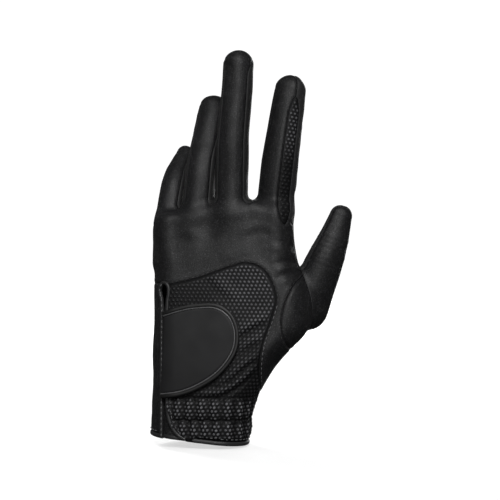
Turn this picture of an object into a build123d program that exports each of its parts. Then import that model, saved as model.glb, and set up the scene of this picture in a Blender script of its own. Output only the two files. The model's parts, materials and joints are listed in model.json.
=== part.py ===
"""A golf glove for the left hand, in its worn shape, as an assembly of its sewn pieces.

Millimetres. The origin is the middle of the wrist opening, +Z runs from the wrist to the
fingertips, the back of the hand faces -Y, the palm faces +Y and the thumb is on the +X side.
Every finger sleeve is made in two halves, because it bends at its middle knuckle.
"""

import math
import os

from build123d import *

# ---- driving dimensions -------------------------------------------------------------------
WALL = 1.0  # thickness of the glove's material
HAND_TURN = -8.0  # the hand's broad plane is turned this far about Z, little finger side back
HEM_TILT = 4.0  # the wrist hem rises towards the little finger side
HEM_HEIGHT = 3.0  # height of the bound edge round the wrist
CROTCH_LEVEL = 127.5  # height of the finger crotches at X = 0
CROTCH_TILT = -6.0  # the row of crotches falls towards the little finger
CUFF_TOP = 26.0  # the gathered cuff reaches up to here on the back
SLIT_LEFT, SLIT_RIGHT = -20.6, -19.2  # edges of the slit up the back
SLIT_TOP = 85.0  # centre height of the keyhole at the slit's top
KEYHOLE_RADIUS = 2.0
BINDING_WIDTH = 2.2  # how far the slit's binding reaches to either side of it
SIDE_TOP = SLIT_TOP + KEYHOLE_RADIUS + BINDING_WIDTH
WEB_LIP = 0.3  # how far the web reaches in past the wall of each finger's sleeve
KNUCKLE_GAP = 0.45  # each half of a sleeve stops this far short of the knuckle's axis
FLEX_TOTAL = 80.0  # the bend of a finger at its limit
REACH = 90.0  # longer than any cut has to be

# ---- layers of the hand, as offsets from the glove's outer surface --------------------------
SKIN = (-WALL, 0.0)
HEM_LAYER = (-WALL - 0.5, 0.5)
ELASTIC_LAYER = (-WALL - 1.0, -WALL)
BINDING_LAYER = (-WALL - 0.2, 0.9)
LOOP_LAYER = (0.0, 0.8)
TAB_ROOT_LAYER = (0.0, 1.9)
HOOK_LAYER = (1.1, 1.9)
TAB_LAYER = (1.9, 2.8)
TAB_EDGING_LAYER = (1.6, 3.1)

# The hand's sections: height, lowest and highest X, middle Y and full depth.
HAND_SECTIONS = [
    (-8.0, -27.6, 27.4, 0.0, 37.0),
    (0.0, -27.4, 27.4, 0.0, 37.0),
    (22.0, -26.6, 31.0, 0.0, 37.0),
    (42.0, -26.4, 40.6, 1.0, 37.0),
    (56.0, -26.4, 53.0, 2.5, 37.0),
    (70.0, -26.6, 62.0, 4.0, 36.0),
    (84.0, -26.8, 61.0, 4.5, 34.0),
    (98.0, -27.2, 55.0, 4.5, 31.0),
    (112.0, -27.4, 52.5, 4.5, 28.0),
    (126.0, -27.6, 51.8, 4.5, 25.0),
    (142.0, -27.6, 51.8, 4.5, 23.0),
]
SECTION_CORNER = 0.47  # corner radius of a section, as a share of its depth

# Each digit: base and knuckle points, radii at base, knuckle and tip, length beyond the
# knuckle, roll of its palm side towards the thumb, its bend at rest, and where its back, thumb
# side, front and little finger side panels start, in degrees from the middle of the back, counted
# towards the thumb side. Each panel runs on to the next.
DIGITS = {
    "index": dict(base=(41.6, 2.0, 131.0), knuckle=(44.6, 1.0, 158.0), radii=(9.9, 9.8, 8.6),
                  length=48.0, roll=25.0, rest=4.0, seams=(-50, 28, 72, 230)),
    "middle": dict(base=(17.4, 0.5, 129.0), knuckle=(18.0, -0.5, 161.0), radii=(9.4, 9.2, 7.8),
                   length=58.5, roll=8.0, rest=3.0, seams=(-50, 50, 130, 230)),
    "ring": dict(base=(-4.2, 4.5, 126.0), knuckle=(-1.6, 7.5, 155.0), radii=(8.8, 8.7, 7.6),
                 length=43.5, roll=10.0, rest=20.0, seams=(-50, 50, 130, 230)),
    "little": dict(base=(-19.8, 12.0, 122.0), knuckle=(-16.8, 19.5, 146.0), radii=(7.7, 7.5, 6.5),
                   length=31.5, roll=12.0, rest=22.0, seams=(-50, 50, 130, 230)),
    "thumb": dict(base=(56.0, 7.0, 72.0), knuckle=(72.6, 4.5, 105.5), radii=(13.0, 9.8, 6.6),
                  length=29.5, roll=-35.0, rest=4.0),
}
FINGERS = ["index", "middle", "ring", "little"]
PANEL_NAMES = ["back", "thumb_side", "front", "little_side"]

# ---- frames -----------------------------------------------------------------------------------
def turned(z):
    """The hand's section plane at height z, with its X along the broad side."""
    angle = math.radians(HAND_TURN)
    return Plane(origin=(0, 0, z), x_dir=(math.cos(angle), math.sin(angle), 0), z_dir=(0, 0, 1))


def tilted(z, tilt):
    """A plane that crosses X = 0 at height z and falls towards +X by tilt degrees."""
    angle = math.radians(tilt)
    return Plane(origin=(0, 0, z), x_dir=(math.cos(angle), 0, -math.sin(angle)),
                 z_dir=(math.sin(angle), 0, math.cos(angle)))


hem_plane = tilted(0, HEM_TILT)
hem_top = hem_plane.offset(HEM_HEIGHT)
crotch_plane = tilted(CROTCH_LEVEL, CROTCH_TILT)
web_floor = crotch_plane.offset(-WALL)
middle_plane = Plane(origin=(0, 4, 0), x_dir=(0, 0, 1), z_dir=turned(0).y_dir)  # faces the palm
back_view = Plane.XZ  # a sketch here reads X across and Z up, and extrudes towards the back


def knuckle_frames(digit):
    """The frames of a digit's lower and upper halves at the knuckle: Z runs along the half
    towards the tip, X is the hinge's axis and -Y faces the back of the finger."""
    base, knuckle = Vector(*digit["base"]), Vector(*digit["knuckle"])
    along = (knuckle - base).normalized()
    roll = math.radians(digit["roll"])
    palmwards = Vector(math.sin(roll), math.cos(roll), 0)
    hinge = palmwards.cross(along).normalized()
    lower = Plane(origin=knuckle, x_dir=hinge, z_dir=along)
    bent = along.rotate(Axis((0, 0, 0), hinge), -digit["rest"])
    return lower, Plane(origin=knuckle, x_dir=hinge, z_dir=bent)


# ---- the hand's layers --------------------------------------------------------------------------
def hand_solid(offset_by):
    """The hand from below the hem to above the crotches, grown by offset_by."""
    with BuildPart() as solid:
        for z, x_low, x_high, y_middle, depth in HAND_SECTIONS:
            with BuildSketch(turned(z)):
                with Locations(((x_low + x_high) / 2, y_middle)):
                    RectangleRounded(x_high - x_low + 2 * offset_by, depth + 2 * offset_by,
                                     SECTION_CORNER * depth + offset_by)
        loft()
    return solid.part


solids = {}


def layer(inner, outer):
    """The closed skin of the hand between two offsets from its outer surface."""
    for offset_by in (inner, outer):
        if offset_by not in solids:
            solids[offset_by] = hand_solid(offset_by)
    with BuildPart() as closed_skin:
        add(solids[outer])
        add(solids[inner], mode=Mode.SUBTRACT)
    return closed_skin.part


def between(low, high):
    """Keeps what lies above one plane and below another of the part being built."""
    split(bisect_by=low, keep=Keep.TOP)
    split(bisect_by=high, keep=Keep.BOTTOM)


def prism(*points, curve=None):
    """A prism through the hand under an outline of straight lines, closed by a curve if given."""
    with BuildPart() as block:
        with BuildSketch(back_view):
            with BuildLine():
                if curve:
                    top = Spline(*curve)
                    Polyline(top @ 1, *points, top @ 0)
                else:
                    Polyline(*points, close=True)
            make_face()
        extrude(amount=REACH, both=True)
    return block.part


def strip(x_low, x_high, z_low, z_high):
    return prism((x_low, z_low), (x_high, z_low), (x_high, z_high), (x_low, z_high))


def slit_prism(margin):
    """The slit with its keyhole and the cut-away corner of the right flap, grown by margin."""
    left, right = SLIT_LEFT - margin, SLIT_RIGHT + margin
    with BuildPart() as block:
        with BuildSketch(back_view):
            with Locations(((left + right) / 2, SLIT_TOP / 2)):
                Rectangle(right - left, SLIT_TOP)
            with Locations(((SLIT_LEFT + SLIT_RIGHT) / 2, SLIT_TOP)):
                Circle(KEYHOLE_RADIUS + margin)
            with BuildLine():
                corner = Spline((right, CUFF_TOP), (-18 + margin, 13), (-11 + margin, 3))
                Polyline(corner @ 1, (-6 + margin, -8), (left, -8), (left, CUFF_TOP), corner @ 0)
            make_face()
        extrude(amount=REACH)
    return block.part


ARCH_EDGE = [(SLIT_RIGHT, 88), (-2, 92), (16.6, 98.5), (26, 100.5), (36, 96), (42, 82),
             (39.5, 70), (34.5, 55), (33, 42), (35, CUFF_TOP)]
TAB_LEFT = -20.2  # the free part of the tab starts here, beside its hinge line
TAB_EDGE = [(TAB_LEFT, 30), (0, 34), (15.4, 43.7), (22.2, 60.5), (15.4, 75.5), (0, 80.4),
            (TAB_LEFT, 76)]
TAB_INNER_EDGE = [(TAB_LEFT, 32.2), (-0.6, 36.3), (13.9, 45.2), (20, 60.3), (14, 73.8),
                  (0, 78.2), (TAB_LEFT, 73.8)]

skin = layer(*SKIN)
slit = slit_prism(0)
bound_slit = slit_prism(BINDING_WIDTH)
arch = prism((SLIT_RIGHT, CUFF_TOP), curve=ARCH_EDGE)
cuff_area = strip(SLIT_RIGHT, REACH, -20, CUFF_TOP)
side_area = strip(-REACH, SLIT_LEFT, -20, SIDE_TOP)


def thumb_hollow():
    """The inside of the thumb's lower sleeve, which opens into the hand."""
    lower, _ = knuckle_frames(DIGITS["thumb"])
    base_radius, knuckle_radius, _ = DIGITS["thumb"]["radii"]
    length = (Vector(*DIGITS["thumb"]["knuckle"]) - Vector(*DIGITS["thumb"]["base"])).length
    with BuildPart() as hollow:
        with BuildSketch(lower.offset(-length)):
            Circle(base_radius - WALL)
        with BuildSketch(lower):
            Circle(knuckle_radius - WALL)
        loft()
        with Locations(DIGITS["thumb"]["base"]):
            Sphere(base_radius - WALL)
    return hollow.part


thumb_hole = thumb_hollow()
with BuildPart() as gusset_area:  # the side of the hand that carries the thumb
    with BuildSketch(back_view):
        with BuildLine():
            edge = Spline((62, 40), (49, 50), (44.5, 68), (48, 86), (62, 99))
            Polyline(edge @ 1, (REACH, 99), (REACH, 40), edge @ 0)
        make_face()
    extrude(amount=REACH, both=True)


def save(part, label):
    part.label = label
    export_step(part, f"parts/{label}.step")


def hand_piece(label, material, area=None, without=(), side=Keep.BOTTOM, floor=hem_top,
               ceiling=web_floor):
    """Saves a piece of one of the hand's layers. side says whether the back's or the palm's."""
    with BuildPart() as piece:
        add(material)
        if area is not None:
            add(area, mode=Mode.INTERSECT)
        if side is not None:
            split(bisect_by=middle_plane, keep=side)
        between(floor, ceiling)
        for cutter in without:
            add(cutter, mode=Mode.SUBTRACT)
    save(piece.part, label)


# ---- sleeves of the digits ------------------------------------------------------------------------
def sleeve_panel(digit, half, start, arc, trim=None):
    """One panel of a digit's sleeve. half is lower, from the hand to the knuckle, or upper."""
    lower, upper = knuckle_frames(digit)
    frame = lower if half == "lower" else upper
    side = -1 if half == "lower" else 1
    base_radius, knuckle_radius, tip_radius = digit["radii"]
    reach = (Vector(*digit["knuckle"]) - Vector(*digit["base"])).length
    bevel = math.tan(math.radians((FLEX_TOTAL + 1) / 2))
    long_axis = Axis((0, 0, 0), frame.z_dir)
    wall_plane = Plane(origin=frame.origin, x_dir=(-frame.y_dir).rotate(long_axis, start),
                       z_dir=(-frame.x_dir).rotate(long_axis, start))
    with BuildPart() as panel:
        with BuildSketch(wall_plane):
            with BuildLine():
                # a straight wall that ends in a dome: the fingertip, or the root inside the hand
                if half == "lower":
                    end_radius, end_height, turn = base_radius, -reach, -90
                else:
                    end_radius, end_height, turn = tip_radius, digit["length"] - tip_radius, 90
                outer = Line((knuckle_radius, 0), (end_radius, end_height))
                dome = CenterArc((0, end_height), end_radius, 0, turn)
                hollow = CenterArc((0, end_height), end_radius - WALL, 0, turn)
                Line(dome @ 1, hollow @ 1)
                Polyline(hollow @ 0, (knuckle_radius - WALL, 0), outer @ 0)
            make_face()
        revolve(axis=Axis(frame.origin, frame.z_dir), revolution_arc=arc)
        with BuildSketch(Plane(origin=frame.origin, x_dir=frame.y_dir, z_dir=frame.x_dir)):
            with BuildLine():  # the half stops short of the knuckle, and is bevelled to bend
                Polyline((-REACH, side * KNUCKLE_GAP), (0, side * KNUCKLE_GAP),
                         (REACH, side * (KNUCKLE_GAP + REACH * bevel)),
                         (REACH, -side * REACH), (-REACH, -side * REACH), close=True)
            make_face()
        extrude(amount=REACH, both=True, mode=Mode.SUBTRACT)
        if trim == "crotches":
            split(bisect_by=crotch_plane, keep=Keep.TOP)
        elif trim == "web":  # half-way into the web's thickness, which it is joined to
            split(bisect_by=crotch_plane.offset(-WALL / 2), keep=Keep.TOP)
        elif trim == "hand":
            add(solids[0.0], mode=Mode.SUBTRACT)
    return panel.part


def panels(name):
    """Where each panel of a finger's sleeve starts, and how far it goes round, in degrees."""
    starts = DIGITS[name]["seams"]
    ends = starts[1:] + (starts[0] + 360,)
    return {panel: (start, end - start) for panel, start, end in zip(PANEL_NAMES, starts, ends)}


def finger_hollow(name):
    """The hole in the web for a finger, a little smaller than the sleeve that stands on it."""
    lower, _ = knuckle_frames(DIGITS[name])
    with BuildPart() as hollow:
        with BuildSketch(lower.offset(-REACH / 2)):
            Circle(DIGITS[name]["radii"][0] - WALL - WEB_LIP)
        extrude(amount=REACH / 2)
    return hollow.part


def fourchette(name, thumbward, littleward, x_low, x_high):
    """The side wall between two fingers: both of their lower sides and the web that joins them."""
    with BuildPart() as piece:
        add(solids[0.0])
        add(strip(x_low, x_high, CROTCH_LEVEL - REACH, CROTCH_LEVEL + REACH), mode=Mode.INTERSECT)
        between(web_floor, crotch_plane)
        for finger in (thumbward, littleward):
            add(finger_hollow(finger), mode=Mode.SUBTRACT)
        little_side, thumb_side = panels(thumbward)["little_side"], panels(littleward)["thumb_side"]
        add(sleeve_panel(DIGITS[thumbward], "lower", *little_side, trim="web"))
        add(sleeve_panel(DIGITS[littleward], "lower", *thumb_side, trim="web"))
    save(piece.part, name)


# ---- the pieces -----------------------------------------------------------------------------------
os.makedirs("parts", exist_ok=True)

hand_piece("back_panel", skin,
           without=[arch, cuff_area, side_area, bound_slit, gusset_area.part, thumb_hole])
hand_piece("mesh_insert", skin, area=arch, without=[bound_slit])
hand_piece("cuff_mesh", skin, area=cuff_area, without=[bound_slit])
hand_piece("side_panel", skin, area=side_area, without=[bound_slit])
hand_piece("palm_panel", skin, side=Keep.TOP, without=[gusset_area.part, thumb_hole])
hand_piece("thumb_gusset", skin, area=gusset_area.part, side=None, without=[thumb_hole])
hand_piece("slit_binding", layer(*BINDING_LAYER), area=bound_slit, without=[slit])
hand_piece("hem_binding", layer(*HEM_LAYER), side=None, without=[slit], floor=hem_plane,
           ceiling=hem_top)
hand_piece("loop_patch", layer(*LOOP_LAYER), area=strip(-12, 16, 41, 71))

# elastics sewn inside the wrist: two gather the cuff's back, one draws in the palm
elastic = layer(*ELASTIC_LAYER)
hand_piece("cuff_elastic_lower", elastic, area=strip(-8, 28, 8, 13))
hand_piece("cuff_elastic_upper", elastic, area=strip(-8, 28, 18, 23))
hand_piece("palm_elastic", elastic, area=strip(-18, 24, 28, 34), side=Keep.TOP)

# the closure tab, hinged where it is sewn down beside the slit
hand_piece("tab_root", layer(*TAB_ROOT_LAYER), area=strip(-24.6, -23.0, 31, 75))
tab_face = prism(curve=TAB_INNER_EDGE)
hand_piece("tab_skin", layer(*TAB_LAYER), area=tab_face)
hand_piece("tab_edging", layer(*TAB_EDGING_LAYER), area=prism(curve=TAB_EDGE), without=[tab_face])
hand_piece("hook_patch", layer(*HOOK_LAYER), area=strip(-9, 11, 46, 68))

# the three walls between the fingers, each from one finger's side over the web to the next
for thumbward, littleward in zip(FINGERS, FINGERS[1:]):
    x_high = REACH if thumbward == "index" else DIGITS[thumbward]["base"][0]
    x_low = -REACH if littleward == "little" else DIGITS[littleward]["base"][0]
    fourchette(f"fourchette_{thumbward}_{littleward}", thumbward, littleward, x_low, x_high)

# the fingers' other panels
for name in FINGERS:
    side_names = {"thumb_side": "fourchette_thumb_side", "little_side": "fourchette_little_side"}
    if name == "index":
        side_names["thumb_side"] = "mesh_strip"
    if name == "little":
        side_names["little_side"] = "outer_strip"
    for panel_name, (start, arc) in panels(name).items():
        label = f"{name}_{side_names.get(panel_name, panel_name)}"
        save(sleeve_panel(DIGITS[name], "upper", start, arc), f"{label}_upper")
        if "fourchette" not in label:
            save(sleeve_panel(DIGITS[name], "lower", start, arc, trim="crotches"),
                 f"{label}_lower")

# the thumb's outer and inner halves
for panel_name, start in (("back", -90), ("front", 90)):
    save(sleeve_panel(DIGITS["thumb"], "upper", start, 180), f"thumb_{panel_name}_upper")
    save(sleeve_panel(DIGITS["thumb"], "lower", start, 180, trim="hand"),
         f"thumb_{panel_name}_lower")
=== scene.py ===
"""The looks of a golf glove in its worn shape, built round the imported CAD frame.

One smooth hand form is meshed, cut along the glove's seams and taken apart into its sewn panels.
Lengths in this file are millimetres until a piece becomes an object. Axes are the frame's: +Z runs
to the fingertips, -Y out of the back of the hand, +X to the thumb.
"""

import json
import math

import bpy
import numpy as np
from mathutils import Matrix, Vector, kdtree, noise


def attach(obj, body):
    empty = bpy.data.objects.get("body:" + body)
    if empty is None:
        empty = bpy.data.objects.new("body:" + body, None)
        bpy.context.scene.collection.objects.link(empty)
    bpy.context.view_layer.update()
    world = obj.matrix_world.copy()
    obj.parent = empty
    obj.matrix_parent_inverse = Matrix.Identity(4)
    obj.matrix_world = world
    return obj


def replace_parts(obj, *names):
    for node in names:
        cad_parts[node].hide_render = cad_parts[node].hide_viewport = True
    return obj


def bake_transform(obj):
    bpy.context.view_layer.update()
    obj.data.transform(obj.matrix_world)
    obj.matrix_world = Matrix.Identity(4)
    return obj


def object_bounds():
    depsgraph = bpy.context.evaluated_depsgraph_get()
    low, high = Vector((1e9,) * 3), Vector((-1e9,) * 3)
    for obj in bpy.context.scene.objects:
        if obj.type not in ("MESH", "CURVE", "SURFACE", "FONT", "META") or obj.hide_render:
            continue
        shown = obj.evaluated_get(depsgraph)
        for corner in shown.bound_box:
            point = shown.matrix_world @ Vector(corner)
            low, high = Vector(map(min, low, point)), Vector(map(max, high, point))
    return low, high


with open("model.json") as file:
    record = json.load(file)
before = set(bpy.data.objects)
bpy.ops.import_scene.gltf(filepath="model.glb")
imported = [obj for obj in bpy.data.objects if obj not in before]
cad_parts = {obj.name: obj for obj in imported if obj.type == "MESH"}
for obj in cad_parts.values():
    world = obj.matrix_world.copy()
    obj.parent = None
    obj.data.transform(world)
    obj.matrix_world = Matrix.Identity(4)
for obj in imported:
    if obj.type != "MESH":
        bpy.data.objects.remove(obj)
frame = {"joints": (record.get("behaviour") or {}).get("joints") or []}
cad_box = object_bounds()
joints = {joint["name"]: joint for joint in frame["joints"]}

# ---- driving sizes, millimetres ----
GRID = 0.8  # edge of the grid that the hand form is meshed on
THICK = 0.8  # of the leather and the mesh
HAND_TURN = math.radians(-8)  # the hand's broad plane is turned this far about Z
CORNER_SHARE = 0.47  # of a hand section's depth, for its corner radius
HEM_SLOPE = math.tan(math.radians(5.5))  # the wrist hem rises towards the little finger
HEM_RISE = 1.0  # of the hem at X = 0
HEM_HEIGHT = 2.2
HEM_GAP = (-19.5, -2.0)  # the flap and the slit leave the hem open between these X
CROTCH_LEVEL = 132.6  # of the finger crotches at X = 0
CROTCH_SLOPE = math.tan(math.radians(4))  # the row of crotches rises towards the index finger
CUFF_TOP = 26.0
SIDE_TOP = 89.2
MID_Y = 4.0  # of the plane between the back and the palm, in the turned frame
FINGER_LEVEL = 100.0  # no finger's seam reaches below this
STRIP_LEVEL = 108.0  # no finger's side strip reaches below this
STRIP_FOOT, STRIP_TIP = 12, 9  # lengths over which a side strip narrows to a point
HAND_FILLET, FINGER_FILLET, THUMB_FILLET = 7.0, 4.5, 4.0  # where the form's parts run together

# height, lowest and highest X, middle Y and depth of the hand, in the turned frame
HAND_SECTIONS = np.array([
    (-12, -29.2, 26.0, 0.0, 37.0),
    (10, -28.0, 28.0, 0.0, 36.5),
    (22, -27.6, 30.2, 0.0, 36.0),
    (42, -27.5, 41.6, 1.0, 35.5),
    (50, -27.5, 48.8, 1.8, 35.2),
    (56, -27.5, 54.6, 2.5, 35.0),
    (63, -27.5, 62.0, 3.2, 34.6),
    (70, -27.5, 63.0, 4.0, 34.0),
    (84, -27.6, 62.0, 4.5, 32.0),
    (98, -27.2, 55.0, 4.5, 29.5),
    (112, -27.4, 52.5, 4.5, 26.5),
    (126, -27.6, 51.8, 4.5, 22.5),
    (142, -27.6, 51.8, 4.5, 20.0),
])

# base point, radii at base, knuckle and tip, length beyond the knuckle, where the side panels
# start and end on the thumb side and on the little finger side, in degrees from the dorsal line
DIGITS = {
    "index": ((41.6, 2.0, 131.0), (9.9, 10.0, 8.6), 50.0, (28, 72), (50, 130)),
    "middle": ((17.4, 0.5, 129.0), (9.4, 9.1, 8.3), 60.5, (50, 130), (50, 130)),
    "ring": ((-4.2, 4.5, 126.0), (8.8, 8.8, 8.3), 48.5, (50, 130), (50, 130)),
    "little": ((-19.8, 12.0, 122.0), (7.7, 7.4, 5.4), 30.0, (50, 130), (50, 130)),
    "thumb": ((60.5, 7.0, 75.9), (12.8, 9.9, 6.4), 29.5, (90, 90), (90, 90)),
}
# how much wider than deep each digit is on its thumb side and on its little finger side, how far
# it lies towards the thumb, and how far its tip leans along X
STANCE = {
    "index": (1.06, 1.04, 0.0, 0.4),
    "middle": (1.0, 1.08, 0.0, 2.2),
    "ring": (1.06, 1.04, 0.9, 0.8),
    "little": (1.0, 1.0, 0.0, 1.8),
    "thumb": (1.0, 1.10, 0.0, -0.7),
}
FINGERS = ["index", "middle", "ring", "little"]
# half the length over which each digit's skin bends
BEND_HALF = {"index": 15.0, "middle": 15.0, "ring": 14.0, "little": 12.0, "thumb": 13.0}

ARCH_EDGE = [(-19.9, 88), (-2, 92), (16.6, 98.5), (26, 100.5), (36, 96), (42, 82),
             (39.5, 70), (34.5, 55), (33, 42), (33.6, 26), (33, 12), (32, -12)]
GUSSET_EDGE = [(74, 40), (58, 47), (49, 54), (45, 66), (47, 78), (54, 90), (66, 99)]
SLIT_LEFT = [(-20.7, -12), (-20.7, 30), (-20.7, 60), (-20.9, 78), (-21.9, 83)]
KEYHOLE = [(-22.2, 86), (-20.6, 88.8), (-18.8, 87), (-18.7, 83)]
SLIT_RIGHT = [(-19.4, 78), (-19.5, 60), (-19.4, 40), (-19.3, 28), (-18.8, 18), (-16.8, 10.5),
              (-13, 5.0), (-8, 2.0), (-3.5, 0.6)]
TAB_LEFT = -21.4  # the tab comes out from under the slit's left edge here
TAB_EDGE = [(TAB_LEFT, 25.5), (-10, 27.5), (0, 31.5), (10, 38), (17.5, 46.5), (21.3, 55),
            (21.3, 65), (17, 73.5), (8.5, 78.3), (-4, 78), (-13, 76.2), (TAB_LEFT, 73.5)]
TAB_BORDER = 2.3  # width of the folded edging round the tab


# ---- tools for points, outlines and triangle meshes ----
def rows(*columns):
    """Arrays side by side: points from coordinates, or triangles from vertices."""
    return np.stack(columns, -1)


def unit(v):
    return v / np.linalg.norm(v, axis=-1, keepdims=True)


def turn(v, axis, angle):
    """v turned about a unit axis by angle, in radians. angle may be one for each row of v."""
    c, s = np.cos(angle), np.sin(angle)
    if np.ndim(angle):
        c, s = c[:, None], s[:, None]
    return v * c + np.cross(axis, v) * s + axis * (v @ axis)[..., None] * (1 - c)


def smooth_min(a, b, k):
    """The lower of two distances, with a fillet of about k where they meet."""
    h = np.clip(0.5 + 0.5 * (b - a) / k, 0, 1)
    return b + (a - b) * h - k * h * (1 - h)


def ramp(x, low, high):
    """0 below low, 1 above high, and smooth between."""
    t = np.clip((x - low) / (high - low), 0, 1)
    return t * t * (3 - 2 * t)


def bell(x, width):
    return np.exp(-((x / width) ** 2))


def smooth_curve(points, step=0.6):
    """A Catmull-Rom curve through the points, as points about one step apart."""
    p = np.array(points, float)
    p = np.vstack([2 * p[0] - p[1], p, 2 * p[-1] - p[-2]])
    out = []
    for a, b, c, d in zip(p, p[1:], p[2:], p[3:]):
        t = np.linspace(0, 1, max(2, int(np.linalg.norm(c - b) / step)), endpoint=False)[:, None]
        out.append(0.5 * (2 * b + (c - a) * t + (2 * a - 5 * b + 4 * c - d) * t * t
                          + (3 * b - a - 3 * c + d) * t ** 3))
    return np.vstack([*out, p[-2:-1]])


def run_along(path):
    """The length of a path up to each of its points."""
    return np.concatenate([[0], np.cumsum(np.linalg.norm(np.diff(path, axis=0), axis=1))])


def at_run(at, run, values):
    """What a path's values are at other lengths along it."""
    return rows(*(np.interp(at, run, column) for column in values.T))


def evenly(path, step):
    """The same line with points about step apart."""
    path = np.asarray(path, float)
    run = run_along(path)
    return at_run(np.linspace(0, run[-1], max(2, int(round(run[-1] / step)) + 1)), run, path)


def offset_line(line, distance):
    """A line in the XZ plane moved to its left."""
    t = unit(np.gradient(line, axis=0))
    return line + distance * rows(-t[:, 1], t[:, 0])


def beside(p, a, b):
    """How far points lie from the line from a to b, seen from the back, and their place along it
    from 0 to 1."""
    x, z = p[:, 0] - a[0], p[:, 2] - a[1]
    ex, ez = b - a
    t = np.clip((x * ex + z * ez) / max(ex * ex + ez * ez, 1e-12), 0, 1)
    return np.hypot(x - t * ex, z - t * ez), t


def outline_distance(outline, p):
    """Signed distance of points from a closed outline in the XZ plane, below 0 inside it."""
    best = np.full(len(p), 1e9)
    inside = np.zeros(len(p), bool)
    for a, b in zip(outline, np.roll(outline, -1, axis=0)):
        best = np.minimum(best, beside(p, a, b)[0])
        crosses = (a[1] > p[:, 2]) != (b[1] > p[:, 2])
        if a[1] != b[1]:
            inside ^= crosses & (p[:, 0] < a[0] + (p[:, 2] - a[1]) * (b - a)[0] / (b - a)[1])
    return np.where(inside, -best, best)


def vertex_normals(verts, tris):
    a, b, c = (verts[tris[:, i]] for i in range(3))
    face = np.cross(b - a, c - a)
    total = np.zeros_like(verts)
    for i in range(3):
        np.add.at(total, tris[:, i], face)
    return unit(total + 1e-12)


def compact(verts, tris):
    """Only the vertices that the triangles use, with which ones they were."""
    used, flat = np.unique(tris, return_inverse=True)
    return verts[used], flat.reshape(-1, 3), used


def sides(tris):
    """Every triangle's three edges, in its direction."""
    return np.vstack([tris[:, [0, 1]], tris[:, [1, 2]], tris[:, [2, 0]]])


def cut(verts, tris, field, snap=0.08):
    """Splits the triangles along field = 0, so that none reaches to both sides of it."""
    f = field(verts)
    f[np.abs(f) < snap] = 0
    sign = np.sign(f).astype(int)
    edges = np.sort(sides(tris), axis=1)
    edges = np.unique(edges[sign[edges[:, 0]] * sign[edges[:, 1]] < 0], axis=0)
    if not len(edges):
        return verts, tris
    fa, fb = f[edges[:, 0]], f[edges[:, 1]]
    t = (fa / (fa - fb))[:, None]
    fresh = verts[edges[:, 0]] * (1 - t) + verts[edges[:, 1]] * t
    keys = edges[:, 0].astype(np.int64) * len(verts) + edges[:, 1]

    def crossing(a, b):
        """The new vertex on each edge a-b."""
        low, high = np.minimum(a, b), np.maximum(a, b)
        return len(verts) + np.searchsorted(keys, low.astype(np.int64) * len(verts) + high)

    s = sign[tris]
    mixed = (s.min(1) < 0) & (s.max(1) > 0)
    out = [tris[~mixed]]
    for shift in range(3):
        a, b, c = (tris[:, (shift + i) % 3] for i in range(3))
        sa, sb, sc = sign[a], sign[b], sign[c]
        through = mixed & (sa == 0)  # the line enters at vertex a
        m = crossing(b[through], c[through])
        out += [rows(a[through], b[through], m), rows(a[through], m, c[through])]
        lone = mixed & (sa != 0) & (sb == -sa) & (sc == -sa)  # vertex a is alone on its side
        a, b, c = a[lone], b[lone], c[lone]
        m, n = crossing(a, b), crossing(a, c)
        out += [rows(a, m, n), rows(m, b, c), rows(m, c, n)]
    return np.vstack([verts, fresh]), np.vstack(out)


def halved(verts, tris):
    """Every triangle as four."""
    unique, where = np.unique(np.sort(sides(tris), axis=1), axis=0, return_inverse=True)
    fresh = verts[unique].mean(1)
    a, b, c = tris.T
    ab, bc, ca = len(verts) + where.reshape(3, -1)
    parts = [rows(a, ab, ca), rows(ab, b, bc), rows(ca, bc, c), rows(ab, bc, ca)]
    return np.vstack([verts, fresh]), np.vstack(parts)


def border_edges(tris):
    """The edges that only one triangle has, in its direction."""
    directed = sides(tris)
    _, where, count = np.unique(np.sort(directed, axis=1), axis=0, return_inverse=True,
                                return_counts=True)
    return directed[count[where.ravel()] == 1]


def halving(inner, outer, is_out, rounds):
    """The values between inner and outer at which is_out turns true."""
    for _ in range(rounds):
        middle = (inner + outer) / 2
        out = is_out(middle)
        inner, outer = np.where(out, inner, middle), np.where(out, middle, outer)
    return (inner + outer) / 2


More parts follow.
